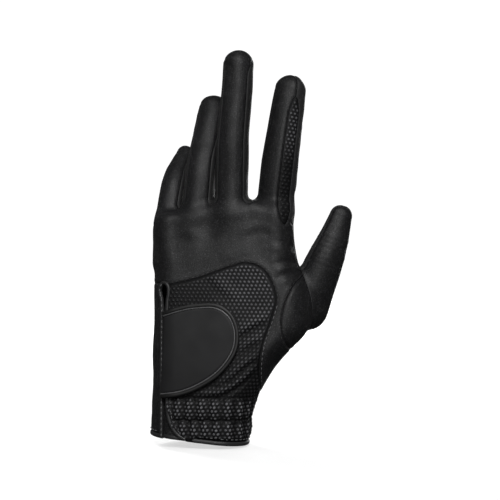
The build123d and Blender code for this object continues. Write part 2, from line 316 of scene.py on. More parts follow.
# ---- the form of the hand ----
class Digit:
    """A digit's centre line, its radius along it, and its frame of directions."""

    def __init__(self, name):
        base, radii, length, self.thumbward, self.littleward = DIGITS[name]
        joint = joints[name + "_knuckle"]
        self.name = name
        self.angle = math.radians(joint["range_deg"][0])  # of the knuckle at rest
        self.knuckle = np.array(joint["pos_m"]) * 1000
        self.hinge = -np.array(joint["axis"])
        self.along = unit(self.knuckle - base)
        self.bent = turn(self.along, self.hinge, self.angle)
        root = 1 if name == "thumb" else 22  # how far the digit reaches down into the hand
        curve = 9  # the centre line is rounded this far to either side of the knuckle
        t = np.linspace(0, 1, 7)[:, None]
        bend = ((1 - t) ** 2 * (-curve) * self.along + t ** 2 * curve * self.bent) + self.knuckle
        self.length = length - radii[2]
        self.wide, self.narrow, shift, lean = STANCE[name]
        self.points = np.vstack([base - root * self.along, base, bend,
                                 self.knuckle + self.bent * self.length + [lean, 0, 0]])
        self.points += shift * self.hinge
        run = run_along(self.points)
        self.s = run - run[5]  # 0 at the knuckle
        self.radius = np.interp(self.s, [self.s[1], 0, self.s[-1]], radii)
        if name != "thumb":
            self.radius[0] = 0.6 * radii[0]
        self.start = self.knuckle - self.along * BEND_HALF[name]
        self.end = self.knuckle + self.bent * BEND_HALF[name]
        self.crotch = (CROTCH_LEVEL + CROTCH_SLOPE * base[0] - self.knuckle[2]) / self.along[2]
        self.cut = -BEND_HALF[name] - 2.5

    def stretches(self, p):
        """For each stretch of the centre line: its number, how far along it each point lies, from
        0 to 1, and the way from the line to the point."""
        for i, (a, b) in enumerate(zip(self.points, self.points[1:])):
            t = np.clip((p - a) @ (b - a) / ((b - a) @ (b - a)), 0, 1)
            yield i, t, p - a - t[:, None] * (b - a)

    def gap(self, p):
        """Distance of points from the digit's surface."""
        best = np.full(len(p), 1e9)
        for i, t, q in self.stretches(p):
            side = q @ self.hinge
            squeeze = side * (1 - 1 / np.where(side > 0, self.wide, self.narrow))
            far = np.linalg.norm(q - squeeze[:, None] * self.hinge, axis=1)
            start, end = self.radius[i:i + 2]
            best = np.minimum(best, far - start - (end - start) * t)
        return best

    def frame(self, p):
        """For each point: the run along the centre line from the knuckle, and how far it lies from
        that line towards the back and towards the thumb."""
        best = np.full(len(p), 1e9)
        run, offset = np.zeros(len(p)), np.zeros((len(p), 3))
        for i, t, q in self.stretches(p):
            far = np.linalg.norm(q, axis=1)
            start, end = self.s[i:i + 2]
            run = np.where(far < best, start + (end - start) * t, run)
            offset = np.where((far < best)[:, None], q, offset)
            best = np.minimum(best, far)
        beyond = np.maximum((p - self.points[-1]) @ self.bent, 0)
        run = run + beyond
        offset = offset - beyond[:, None] * self.bent
        back = np.tile(np.cross(self.hinge, self.along), (len(p), 1))
        back = turn(back, self.hinge, self.angle * ramp(run, -9, 9))
        return run, (offset * back).sum(1), offset @ self.hinge


digits = {name: Digit(name) for name in DIGITS}

# the hand's sections for each millimetre of height, smoothed over their neighbours
heights = np.arange(-20, 150, 1.0)
reach = 12  # millimetres to either side
softness = 6.0
kernel = bell(np.arange(-reach, reach + 1), softness)
kernel /= kernel.sum()
section_values = []
for column in HAND_SECTIONS.T[1:]:
    values = np.pad(np.interp(heights, HAND_SECTIONS[:, 0], column), reach, mode="edge")
    section_values.append(np.convolve(values, kernel, mode="valid"))


def turned(p):
    """X and Y of points in the hand's turned frame."""
    c, s = math.cos(HAND_TURN), math.sin(HAND_TURN)
    return p[:, 0] * c + p[:, 1] * s, -p[:, 0] * s + p[:, 1] * c


def in_hand(p):
    """Points in the hand's turned frame, relative to the section at their height, with that
    section's half width, half depth and corner radius."""
    low, high, middle, depth = (np.interp(p[:, 2], heights, v) for v in section_values)
    x, y = turned(p)
    return x - (low + high) / 2, y - middle, (high - low) / 2, depth / 2, CORNER_SHARE * depth


def section_gap(p):
    x, y, wide, deep, corner = in_hand(p)
    qx, qy = np.abs(x) - wide + corner, np.abs(y) - deep + corner
    outside = np.hypot(np.maximum(qx, 0), np.maximum(qy, 0))
    return outside + np.minimum(np.maximum(qx, qy), 0) - corner


def palm_gap(p):
    """Distance from the hand without its digits: its sections, closed below the crotches."""
    # highest beside the ring finger and between index and middle finger
    rise = CROTCH_SLOPE * p[:, 0] + 3.0 * bell(p[:, 0] - 7, 8) + 3.0 * bell(p[:, 0] - 29.5, 7)
    top = (p[:, 2] - CROTCH_LEVEL - rise + 1.5) * 0.97
    return -smooth_min(-section_gap(p), -top, HAND_FILLET)


def finger_gaps(p):
    """Distance of points from each finger, as a row for each."""
    return np.stack([digits[name].gap(p) for name in FINGERS])


def form(p):
    """Distance of points from the whole gloved hand."""
    hand = smooth_min(palm_gap(p), finger_gaps(p).min(0), FINGER_FILLET)
    return smooth_min(hand, digits["thumb"].gap(p), THUMB_FILLET)


def form_normals(p):
    step = 0.05
    return unit(rows(*(form(p + step * e) - form(p - step * e) for e in np.eye(3))))


def onto_form(p, rounds):
    """Points moved onto the form's surface."""
    for _ in range(rounds):
        p = p - form_normals(p) * form(p)[:, None]
    return p


def surface():
    """The form's surface as triangles: one vertex for each grid cell that it passes through."""
    low = np.array([-34.0, -30.0, -12.0])
    high = np.array([94.0, 52.0, 226.0])
    n = np.ceil((high - low) / GRID).astype(int)
    coarse = 5  # grid steps in each coarse cell, which is only refined near the surface
    n = (n // coarse + 1) * coarse
    blocks = np.stack(np.meshgrid(*(np.arange(k // coarse) for k in n), indexing="ij"), -1)
    centres = low + (blocks + 0.5) * coarse * GRID
    rough = form(centres.reshape(-1, 3)).reshape(blocks.shape[:3])
    values = np.repeat(np.repeat(np.repeat(rough, coarse, 0), coarse, 1), coarse, 2)
    near = np.abs(values) < 2.2 * coarse * GRID
    index = np.argwhere(near)
    values[near] = form(low + index * GRID)
    inside = values < 0
    # cells with a change of sign between any two corners
    count = sum(inside[tuple(slice(i, size - 1 + i) for i, size in zip(corner, n))]
                for corner in np.ndindex(2, 2, 2))
    active = (count > 0) & (count < 8)
    number = np.full(active.shape, -1)
    cells = np.argwhere(active)
    number[active] = np.arange(len(cells))
    verts = onto_form(low + (cells + 0.5) * GRID, rounds=4)
    quads = []
    for axis in range(3):
        b, c = (axis + 1) % 3, (axis + 2) % 3
        change = np.diff(inside.astype(int), axis=axis)[:n[0] - 1, :n[1] - 1, :n[2] - 1]
        at = np.argwhere(change)
        at = at[(at[:, b] > 0) & (at[:, c] > 0)]
        eb, ec = np.eye(3, dtype=int)[[b, c]]
        quad = rows(*(number[tuple(v.T)] for v in (at - eb - ec, at - ec, at, at - eb)))
        outwards = change[tuple(at.T)] < 0
        quad[~outwards] = quad[~outwards][:, ::-1]
        quads.append(quad[(quad >= 0).all(1)])
    quads = np.vstack(quads)
    return verts, np.vstack([quads[:, [0, 1, 2]], quads[:, [0, 2, 3]]])


# ---- seams: each is where a field over the surface is 0 ----
def inside_of(line, *far_corners):
    """A field below 0 inside a closed outline in the XZ plane: a smooth line, then corners."""
    outline = np.vstack([smooth_curve(line), *far_corners])
    return lambda p: outline_distance(outline, p)


arch_field = inside_of(ARCH_EDGE, (-19.9, -12))
gusset_field = inside_of(GUSSET_EDGE, (110, 99), (110, 40))
slit_field = inside_of(SLIT_LEFT + KEYHOLE + SLIT_RIGHT, (-3.5, -12))


def above_hem(p):
    return (p[:, 2] - HEM_RISE + HEM_SLOPE * p[:, 0]) * math.cos(math.atan(HEM_SLOPE))


def finger_weights(p):
    """How much each finger has to say about each point: nearly all for the nearest one."""
    gaps = finger_gaps(p)
    weights = np.exp(-(gaps - gaps.min(0)) / 1.2)
    return weights / weights.sum(0)


def by_fingers(p, measure, below):
    """A measure of each finger, mixed at each point, and a single value below the fingers."""
    out = np.full(len(p), float(below))
    high = p[:, 2] > FINGER_LEVEL
    q = p[high]
    out[high] = sum(w * measure(digits[name], q) for w, name in zip(finger_weights(q), FINGERS))
    return out


def strip_of(digit, p):
    """Above 0 in a finger's side strips: millimetres from the strip's edge."""
    run, back, side = digit.frame(p)
    low, high = (np.where(side > 0, digit.thumbward[i], digit.littleward[i]) for i in (0, 1))
    outer = (digit.name == "index") & (side > 0) | (digit.name == "little") & (side < 0)
    over_crotch = run - digit.crotch
    foot = np.where(outer, np.sqrt(np.clip((over_crotch + STRIP_FOOT) / STRIP_FOOT, 0, 1)),
                    ramp(over_crotch, -5, 3))
    end = digit.length + np.where((digit.name == "index") & (side > 0), -4.5, 3.5)
    tip = np.sqrt(np.clip((end - run) / STRIP_TIP, 0, 1))
    angle = np.degrees(np.arctan2(np.abs(side), back))
    inside = (high - low) / 2 * foot * tip - np.abs(angle - (low + high) / 2)
    return np.radians(inside) * np.hypot(back, side)


def back_of(digit, p):
    """Above 0 on the back of a digit: millimetres from the line between its back and front."""
    _, back, side = digit.frame(p)
    middle = np.radians(np.where(side > 0, sum(digit.thumbward), sum(digit.littleward)) / 2)
    return np.hypot(back, side) * np.sin(middle - np.arctan2(np.abs(side), back))


def strip_field(p):
    return by_fingers(p, strip_of, -5)


def thumb_field(p):
    """Below 0 on the thumb's own sleeve."""
    return digits["thumb"].gap(p) - palm_gap(p) - 0.5


def back_field(p):
    """Above 0 on the back of the hand and of every digit."""
    run = by_fingers(p, lambda digit, q: digit.frame(q)[0] - digit.crotch, -30)
    fingers = ramp(run, -15, -5)
    field = (MID_Y - turned(p)[1]) * (1 - fingers) + by_fingers(p, back_of, 0) * fingers
    thumb = ramp(thumb_field(p), 3, -2)
    return field * (1 - thumb) + back_of(digits["thumb"], p) * thumb


def past_cut(p):
    """Above 0 where a finger's own pieces start."""
    return by_fingers(p, lambda digit, q: digit.frame(q)[0] - digit.cut, -20)


def past_thumb_cut(p):
    return digits["thumb"].frame(p)[0] - digits["thumb"].cut


FIELDS = [above_hem, lambda p: above_hem(p) - HEM_HEIGHT, strip_field, thumb_field, back_field,
          past_cut, past_thumb_cut, arch_field, gusset_field, slit_field,
          lambda p: p[:, 2] - CUFF_TOP, lambda p: p[:, 2] - SIDE_TOP]


def sorted_out(p):
    """For each point the panel that it belongs to, the digit that moves it, or the hand, and
    whether it is cut away."""
    nearest = finger_gaps(p).argmin(0)
    back = back_field(p) > 0
    panel = np.where(back, "back", "palm").astype(object)
    x, z = p[:, 0], p[:, 2]
    low = z < STRIP_LEVEL
    on_back = back & low
    panel[low & (gusset_field(p) < 0)] = "gusset"
    panel[on_back & (arch_field(p) < 0)] = "mesh"
    panel[on_back & (arch_field(p) < 0) & (z < CUFF_TOP)] = "cuff"
    panel[on_back & (x < (SLIT_LEFT[0][0] + SLIT_RIGHT[0][0]) / 2) & (z < SIDE_TOP)] = "side"
    strips = ~low & (strip_field(p) > 0)
    for i, name in enumerate(FINGERS):
        side = digits[name].frame(p)[2]
        here = strips & (nearest == i)
        thumbward = "index_strip" if i == 0 else f"web_{FINGERS[i - 1]}_{name}"
        littleward = "little_strip" if i == 3 else f"web_{name}_{FINGERS[i + 1]}"
        panel[here & (side > 0)] = thumbward
        panel[here & (side <= 0)] = littleward
    sleeve = thumb_field(p) < 0
    panel[sleeve] = np.where(back[sleeve], "thumb_back", "thumb_front")
    panel[(above_hem(p) < HEM_HEIGHT) & ~(on_back & (x > HEM_GAP[0]) & (x < HEM_GAP[1]))] = "hem"
    part = np.full(len(p), "hand", object)
    fingers = past_cut(p) > 0
    for i, name in enumerate(FINGERS):
        part[fingers & ~low & (nearest == i)] = name
    part[sleeve & (past_thumb_cut(p) > 0)] = "thumb"
    gone = (above_hem(p) < 0) | back & low & (slit_field(p) < 0)
    return panel, part, gone


# ---- relief: what sewing, wearing and gathering do to the surface ----
DOTTED = ("mesh", "cuff", "index_strip")  # the panels of stretch mesh
HEX_PITCH, HEX_ROW = 2.4, 2.1  # spacing of the raised dots along a row, and of the rows
CUFF_ROWS = [2.4, 13.4, 26.0]  # heights where elastic or a seam draws the cuff in
PUCKER = 6.7  # spacing of the gathers
PALM_BAND = 31  # height of the elastic that draws the palm in
BACK_ENDS, PALM_STARTS = 12, 6  # Y that folds of the back stay below, and those of the palm above
MESH_FOLDS = [  # folds in the mesh: points (X, Z) along each, height and half width
    ([(19, 60.5), (27, 65.5), (38, 71.5)], 0.9, 2.0),
    ([(21, 52), (28, 57), (36, 60)], 0.5, 1.8),
    ([(11, 34), (17, 38), (24, 44.5), (32, 50)], 0.8, 1.8),
    ([(-2, 27.6), (5, 28), (12, 29.5), (22, 35.5), (31, 44)], 1.0, 1.9),
    ([(4, 96), (14, 86), (22, 80)], 0.35, 3.0),
]
PALM_FOLDS = [  # its creases too
    ([(44, 104), (30, 101), (18, 91), (9, 76), (4, 58)], -0.45, 2.2),
    ([(-24, 103), (-8, 101), (8, 106), (22, 116)], -0.4, 2.2),
    ([(-22, 88), (-4, 88), (14, 93), (30, 102)], -0.35, 2.0),
    ([(48, 66), (38, 62), (30, 54)], 0.5, 2.4),
    ([(44, 54), (36, 50), (30, 43)], 0.45, 2.2),
]
BACK_FOLDS = [
    ([(57, 97), (49, 99), (41, 97)], 0.7, 2.2),
    ([(55, 92), (48, 92), (43, 89)], 0.5, 2.0),
    ([(54, 104), (47, 109), (39, 110)], 0.45, 2.6),
    ([(-24, 112), (-12, 117), (2, 116)], 0.35, 3.0),
    ([(24, 118), (33, 121), (40, 119)], 0.35, 2.5),
    ([(40, 60), (37, 50), (36, 38)], 0.5, 2.4),
]
HOLLOWS = [  # where the back sinks in, or swells: X, Z, half width, half height, depth
    (-15, 116, 9, 11, 2.2), (4, 119, 7, 9, 1.4), (20, 127, 9, 10, -1.3), (41, 128, 8, 9, -0.6),
    (33, 112, 9, 12, 0.8), (52, 96, 6, 8, 0.8),
]


def noise_at(p, size, shift=0.0):
    q = p / size + shift
    return np.array([noise.noise(Vector(v)) for v in q])


def hex_dots(u, v):
    """How far each point is from the nearest dot's centre."""
    best = np.full(len(u), 9.0)
    for half in (0, 0.5):
        du = (np.mod(u / HEX_PITCH + half, 1) - 0.5) * HEX_PITCH
        dv = (np.mod(v / (2 * HEX_ROW) + half, 1) - 0.5) * 2 * HEX_ROW
        best = np.minimum(best, np.hypot(du, dv))
    return best


def unrolled(p, panel):
    """Flat coordinates along the surface, in millimetres."""
    if panel == "index_strip":
        digit = digits["index"]
        run, back, side = digit.frame(p)
        radius = np.interp(run, digit.s[1:], digit.radius[1:])
        return rows(np.arctan2(np.abs(side), back) * radius, run)
    x, y, wide, deep, corner = in_hand(p)
    flat = wide - corner
    angle = np.arctan2(np.maximum(np.abs(x) - flat, 0), np.maximum(-y - deep + corner, 1e-6))
    side = np.where(np.abs(x) > flat, np.maximum(y + deep - corner, 0), 0)
    around = np.minimum(np.abs(x), flat) + corner * angle + side
    return rows(np.sign(x) * around, p[:, 2])


def folds(p, lines):
    """Folds that run along lines over the back: each a crest with a hollow below it."""
    total = np.zeros(len(p))
    for points, height, width in lines:
        line = smooth_curve(points, step=1.5)
        best, side, along = np.full(len(p), 1e9), np.zeros(len(p)), np.zeros(len(p))
        for i, (a, b) in enumerate(zip(line, line[1:])):
            ex, ez = b - a
            gap, t = beside(p, a, b)
            above = np.sign(ex * (p[:, 2] - a[1]) - ez * (p[:, 0] - a[0]))
            side = np.where(gap < best, above, side)
            along = np.where(gap < best, (i + t) / (len(line) - 1), along)
            best = np.minimum(best, gap)
        across = best * side
        ends = np.sin(np.pi * np.clip(along, 0.02, 0.98)) ** 0.6
        total += height * ends * (bell(across - 0.35 * width, width)
                                  - 0.8 * bell(across + 1.25 * width, 0.9 * width))
    return total


def gathers(u, v):
    """The cuff puffs out between its drawn-in rows, in upright puckers."""
    out = np.zeros(len(u))
    for i, (low, high) in enumerate(zip(CUFF_ROWS, CUFF_ROWS[1:])):
        t = np.clip((v - low) / (high - low), 0, 1)
        puff = np.sin(np.pi * t) ** 0.7
        shift = 0.9 * np.sin(u / 9 + 2 * i) + 0.45 * PUCKER * i
        lean = 0.12 * (v - low)
        fold = np.cos(2 * np.pi * (u + shift + lean) / PUCKER)
        crest = (0.5 + 0.5 * fold) ** 1.6
        out += puff * (0.35 + 2.1 * crest) * (0.8 + 0.2 * np.sin(u / 5.0 + i))
    wave = 0.7 * np.sin(2 * np.pi * u / PUCKER + 1) + 0.5 * np.sin(u / 2.3)
    drawn = sum(bell(v - row - wave, 1.3) for row in CUFF_ROWS[1:])
    return out - 0.32 * drawn * (1 + 0.5 * np.cos(4 * np.pi * u / PUCKER))


def relief(p, panel, seam):
    """Height of the worked surface over the smooth form, in millimetres, and shade: the painted
    light of its dots there, brighter on crests, with painted shade in folds."""
    x, y, z = p.T
    inner, wide = ramp(seam, 0.4, 2.2), ramp(seam, 0.8, 6)  # 0 at the seams
    finger = ramp(z, 118, 128)
    # a groove along every seam, and a low ridge beside it
    height = -0.24 * bell(seam, 0.7) + (0.16 - 0.08 * finger) * bell(seam - 1.9, 1.1)
    shade = np.ones(len(p))
    if panel in DOTTED:
        flat = unrolled(p, panel)
        dots = inner * ramp(hex_dots(flat[:, 0], flat[:, 1]), 0.85, 0.35)
        height += 0.24 * dots
    # painted light: the strip's dots are painted bright only beyond the knuckle, fading out towards
    # the root and the tip; its noise is random tone
    if panel == "index_strip":  # its dots catch the light beyond the knuckle
        run = digits["index"].frame(p)[0]
        shade = 0.05 + 0.52 * ramp(run, -4, 16) * ramp(run, 38, 28) * (1 + 0.4 * noise_at(p, 6))
    if panel in ("mesh", "cuff"):
        creases = folds(p, MESH_FOLDS)
        gathered = gathers(flat[:, 0], flat[:, 1]) * (0.25 + 0.75 * ramp(x, 31, 21))
        # shade is painted light and shade: brighter to the upper right and higher up, brighter on
        # the crests of the folds and of the cuff's puckers, darker in their hollows; its noise is
        # random tone
        lit = ramp(x + 0.6 * (z - 60), -8, 52) * (0.4 + 0.6 * ramp(z, 42, 74))
        shade = np.clip((0.05 + 0.6 * lit) * (1 + 0.5 * noise_at(p, 11)) + 0.6 * creases, 0.04, 1.2)
        low = ramp(z, CUFF_TOP + 2.5, CUFF_TOP - 1)
        shade = shade * (1 - low) + low * np.clip(-0.04 + 1.0 * gathered, 0.03, 1.7)
        height += inner * creases + wide * 0.35 * noise_at(p, 16) + ramp(seam, 0, 2.0) * gathered
    else:  # the others are uneven, where a hand fills them
        height += wide * (0.7 * noise_at(p, 22) + 0.2 * noise_at(p, 7, 3.7))
    if panel in ("back", "gusset"):
        height += inner * folds(p, BACK_FOLDS) * (y < BACK_ENDS)
        for hx, hz, rx, rz, depth in HOLLOWS:
            sunk = bell(np.hypot((x - hx) / rx, (z - hz) / rz), 1.0)
            height -= depth * sunk * (y < BACK_ENDS)
    if panel == "palm":
        # its elastic draws it in at the wrist, in small upright puckers
        wrist = bell(z - PALM_BAND, 9) * ramp(x, -22, -14) * ramp(x, 30, 20) * (y > 8)
        height += inner * wrist * (0.45 * np.cos(2 * np.pi * x / 4.6 + np.sin(z / 6))
                                   - 0.6 * bell(z - PALM_BAND, 3.5))
        height += inner * folds(p, PALM_FOLDS) * (y > PALM_STARTS)
        # creases across the fingers at the knuckle, near the tip and at the root, and pads between
        run = by_fingers(p, lambda digit, q: digit.frame(q)[0], -60) + 0.8 * np.sin(x / 2.5)
        root = by_fingers(p, lambda digit, q: digit.frame(q)[0] - digit.crotch, -60)
        facing = ramp(by_fingers(p, lambda digit, q: -digit.frame(q)[1], 0), 1.5, 6)
        creases = 0.5 * bell(run, 1.3) + 0.3 * bell(run - 3.2, 0.9) + 0.4 * bell(run - 23, 1.2)
        pads = 0.3 * bell(run - 12, 6) + 0.3 * bell(run + 10, 6)
        height -= facing * (creases + 0.5 * bell(root - 5.5, 1.4) - pads)
    return height, shade


def settled(p):
    """The ring finger leans on the middle one, closer than the grid could tell them apart."""
    p = p.copy()
    high = p[:, 2] > FINGER_LEVEL
    q, ring = p[high], digits["ring"]
    share = finger_weights(q)[FINGERS.index("ring")] * ramp(ring.frame(q)[0] - ring.crotch, -1, 7)
    p[high] += 0.9 * share[:, None] * ring.hinge
    return p


# ---- materials ----
class Look:
    """A node material and the slot it is for. Lengths in its textures are millimetres."""

    def __init__(self, name):
        self.slot = name
        self.material = bpy.data.materials.new(name)
        self.material.use_nodes = True
        self.tree = self.material.node_tree
        self.place = self.attribute("rest", "Vector")

    def put(self, socket, value):
        if isinstance(value, bpy.types.NodeSocket):
            self.tree.links.new(value, socket)
        else:
            socket.default_value = (*value, 1) if socket.type == "RGBA" else value

    def add(self, kind, settings=(), **inputs):
        """A node with its inputs given by name, or by number as i0, i1 and so on."""
        node = self.tree.nodes.new("ShaderNode" + kind)
        for key, value in dict(settings).items():
            setattr(node, key, value)
        for key, value in inputs.items():
            which = int(key[1:]) if key[1:].isdigit() else key.replace("_", " ")
            self.put(node.inputs[which], value)
        return node

    def attribute(self, name, output="Fac"):
        return self.add("Attribute", {"attribute_name": name}).outputs[output]

    def math(self, operation, a, b=0.0, c=0.0):
        return self.add("Math", {"operation": operation}, i0=a, i1=b, i2=c).outputs[0]

    def plus(self, a, b):
        return self.math("ADD", a, b)

    def minus(self, a, b):
        return self.math("SUBTRACT", a, b)

    def times(self, a, b):
        return self.math("MULTIPLY", a, b)

    def ramp(self, value, low, high, start=0.0, end=1.0):
        return self.add("MapRange", {"interpolation_type": "SMOOTHSTEP"}, i0=value, i1=low, i2=high,
                        i3=start, i4=end).outputs[0]

    def noise(self, size, detail=2.0, output="Fac"):
        return self.add("TexNoise", Vector=self.place, Scale=1 / size,
                        Detail=detail).outputs[output]

    def waves(self, direction, scale, distortion):
        return self.add("TexWave", {"bands_direction": direction}, Vector=self.place, Scale=scale,
                        Distortion=distortion).outputs["Fac"]

    def mix(self, share, a, b):
        return self.add("Mix", {"data_type": "RGBA"}, i0=share, i6=a, i7=b).outputs[2]

    def bump(self, height, distance, **normal):
        """distance in millimetres is how far height 1 stands over height 0."""
        return self.add("Bump", Height=height, Distance=distance / 1000, **normal).outputs["Normal"]

    def finish(self, **inputs):
        for key, value in inputs.items():
            self.put(self.tree.nodes["Principled BSDF"].inputs[key.replace("_", " ")], value)
        return self


def leather(name, dark, light, grain, shine, sparkle):
    """Fine-grained leather: small pebbles, some painted lighter as painted glints, and a wide
    mottle.
    """
    m = Look(name)
    warped = m.add("VectorMath", {"operation": "ADD"}, i0=m.place, i1=m.noise(1.6, 1.0, "Color"))
    cells = m.add("TexVoronoi", Vector=warped.outputs[0], Scale=1 / grain).outputs
    # painted glints: some pebbles' tops get a lighter colour, as much as sparkle says; the mottle
    # is random tone
    glint = m.ramp(m.add("SeparateColor", i0=cells["Color"]).outputs[0], 0.70, 0.95)
    top = m.ramp(cells["Distance"], 0.85, 0.1)
    share = m.plus(m.times(glint, sparkle), m.times(m.noise(11.0, 3.0), 0.45))
    pebbled = m.bump(m.plus(top, m.times(m.noise(0.35), 0.35)), 0.055)
    sewn_edge = m.ramp(m.attribute("seam"), 0.0, 0.6)
    return m.finish(Base_Color=m.mix(m.times(share, top), dark, light),
                    Roughness=m.minus(shine + 0.10, m.times(share, 0.08)),
                    Normal=m.bump(sewn_edge, 0.22, Normal=pebbled), Specular_IOR_Level=0.25)


def dotted(name, ground, dot):
    """Stretch mesh: a fine knit ground with rows of raised dots."""
    m = Look(name)
    flat = m.add("SeparateXYZ", i0=m.attribute("flat", "Vector")).outputs
    gaps = []  # from the nearest dot of either row to each place
    for half in (0.0, 0.5):
        squares = []
        for value, period in ((flat[0], HEX_PITCH), (flat[1], 2 * HEX_ROW)):
            share = m.math("FRACT", m.math("MULTIPLY_ADD", value, 1 / period, half + 10))
            off = m.times(m.minus(share, 0.5), period)
            squares.append(m.times(off, off))
        gaps.append(m.math("SQRT", m.plus(*squares)))
    seam, shade = m.attribute("seam"), m.attribute("shade")
    dots = m.times(m.ramp(m.math("MINIMUM", *gaps), 0.80, 0.50), m.ramp(seam, 0.6, 1.6))
    knit = m.plus(m.times(m.waves("DIAGONAL", 1 / 0.9, 1.5), 0.35), m.times(m.noise(0.3), 0.4))
    normal = m.bump(dots, 0.16, Normal=m.bump(knit, 0.06))
    # painted light and shade: where shade is low the ground is painted darker, down to 0.35 of its
    # colour, and the dots dimmer; the dots' lighter colour is a painted highlight
    base = m.mix(m.ramp(shade, 0.0, 0.9), tuple(0.35 * c for c in ground), ground)
    return m.finish(Base_Color=m.mix(m.times(dots, shade), base, dot),
                    Roughness=m.minus(0.62, m.times(dots, 0.22)),
                    Normal=m.bump(m.ramp(seam, 0.0, 0.7), 0.3, Normal=normal),
                    Specular_IOR_Level=0.17)


def plain(name, dark, light, shine, size, depth, ribs=None, gloss=0.25):
    """Fine webbing, cord or coated cloth: noise, and ribs with this spacing and direction."""
    m = Look(name)
    height = m.noise(size, 3.0)
    if ribs:
        height = m.plus(m.times(height, 0.4), m.waves(ribs[1], 0.314 / ribs[0], 0.4))
    mottle = m.noise(9.0)
    share = m.plus(m.times(height, 0.4), m.times(mottle, 0.4))
    return m.finish(Base_Color=m.mix(share, dark, light),
                    Roughness=m.ramp(mottle, 0.3, 0.7, shine - 0.04, shine + 0.06),
                    Normal=m.bump(height, depth), Specular_IOR_Level=gloss)


def grey(value, blue=0.0):
    return value, value, value + blue


back_leather = leather("back_leather", grey(0.0026, 0.0002), grey(0.033, 0.0015),
                       grain=0.5, shine=0.44, sparkle=0.75)
palm_leather = leather("palm_leather", grey(0.008, 0.0003), grey(0.030, 0.001),
                       grain=0.75, shine=0.58, sparkle=0.35)
fourchette_leather = leather("fourchette_leather", grey(0.007), grey(0.035, 0.001),
                             grain=0.5, shine=0.52, sparkle=0.4)
mesh_cloth = dotted("mesh", grey(0.0055, 0.0005), grey(0.11, 0.006))
tab_cloth = plain("tab", grey(0.0065, 0.0005), grey(0.010, 0.0005), 0.6, 0.25, 0.010, gloss=0.2)
edging_cloth = plain("tab_edging", grey(0.004), grey(0.008), 0.45, 0.5, 0.02)
piping_cloth = plain("piping", grey(0.045, 0.001), grey(0.08, 0.002), 0.3, 0.8, 0.01, gloss=0.6)
binding_cloth = plain("binding", grey(0.008), grey(0.022, 0.001), 0.45, 0.4, 0.03, gloss=0.35)
elastic_cloth = plain("elastic", grey(0.008), grey(0.03), 0.7, 0.4, 0.12, (1.1, "X"))
hook_cloth = plain("hook_tape", grey(0.006), grey(0.04), 0.4, 0.5, 0.25, (1.4, "Z"))
loop_cloth = plain("loop_tape", grey(0.006), grey(0.03), 0.85, 0.45, 0.35)
TWIST = (0.5, "DIAGONAL")  # of the thread
# one thread in two copies: this lighter one is painted light for the stitches that catch it
thread = plain("thread", grey(0.05, 0.001), grey(0.15, 0.005), 0.5, 0.2, 0.03, TWIST)
# the same thread painted darker, painted shade for the stitches that lie in shade
shaded_thread = plain("shaded_thread", grey(0.012), grey(0.04, 0.001), 0.5, 0.2, 0.03, TWIST)


# ---- pieces ----
def added(name, data):
    """A new object in the scene."""
    obj = bpy.data.objects.new(name, data)
    bpy.context.scene.collection.objects.link(obj)
    return obj


def make(name, verts, tris, look, slot=None, normals=None, sharp=60, **attributes):
    """An object from points in millimetres, with the coordinates that its material needs."""
    mesh = bpy.data.meshes.new(name)
    mesh.from_pydata(verts / 1000, [], tris)
    mesh.shade_smooth()
    mesh.validate()
    for key, value in dict(rest=verts, **attributes).items():
        value = np.asarray(value, np.float32)
        layer = mesh.attributes.new(key, "FLOAT" if value.ndim == 1 else "FLOAT_VECTOR", "POINT")
        layer.data.foreach_set("value" if value.ndim == 1 else "vector", value.ravel())
    if normals is None:
        mesh.set_sharp_from_angle(angle=math.radians(sharp))
    else:
        mesh.normals_split_custom_set(normals.reshape(-1, 3).tolist())
    mesh.materials.append(look.material)
    obj = added(name, mesh)
    return obj


def thick(p, tris, normals, depth):
    """A closed sheet: the outer face, the inner face and the rim, with a normal for each corner."""
    n = len(p)
    a, b = border_edges(tris).T
    rim = np.vstack([rows(b, a, a + n), rows(b, a + n, b + n)])
    verts = np.vstack([p, p - normals * depth])
    a, b, c = (verts[rim[:, i]] for i in range(3))
    rim_normal = unit(np.cross(b - a, c - a) + 1e-12)
    corners = np.concatenate([normals[tris], -normals[tris[:, ::-1]],
                              np.repeat(rim_normal[:, None], 3, 1)])
    return verts, np.vstack([tris, tris[:, ::-1] + n, rim]), corners


def on_back(x, z, level, palm=False):
    """Points of the back, or palm, that many millimetres over the form, at the given X and Z."""
    inside_y, outside_y = 5.0, 45.0 if palm else -45.0  # at any X and Z of the hand
    inner, outer = np.full(len(x), inside_y), np.full(len(x), outside_y)
    return rows(x, halving(inner, outer, lambda y: form(rows(x, y, z)) > level, 24), z)


def ring(level, turns):
    """Points of the form's surface round the wrist, level over the hem, at these angles."""
    middle_x, outside_r = 2, 60.0

    def at(r):
        x = middle_x + np.sin(turns) * r
        return rows(x, -np.cos(turns) * r, HEM_RISE + level - HEM_SLOPE * x)

    inner, outer = np.zeros(len(turns)), np.full(len(turns), outside_r)
    return at(halving(inner, outer, lambda r: form(at(r)) >= 0, 29))


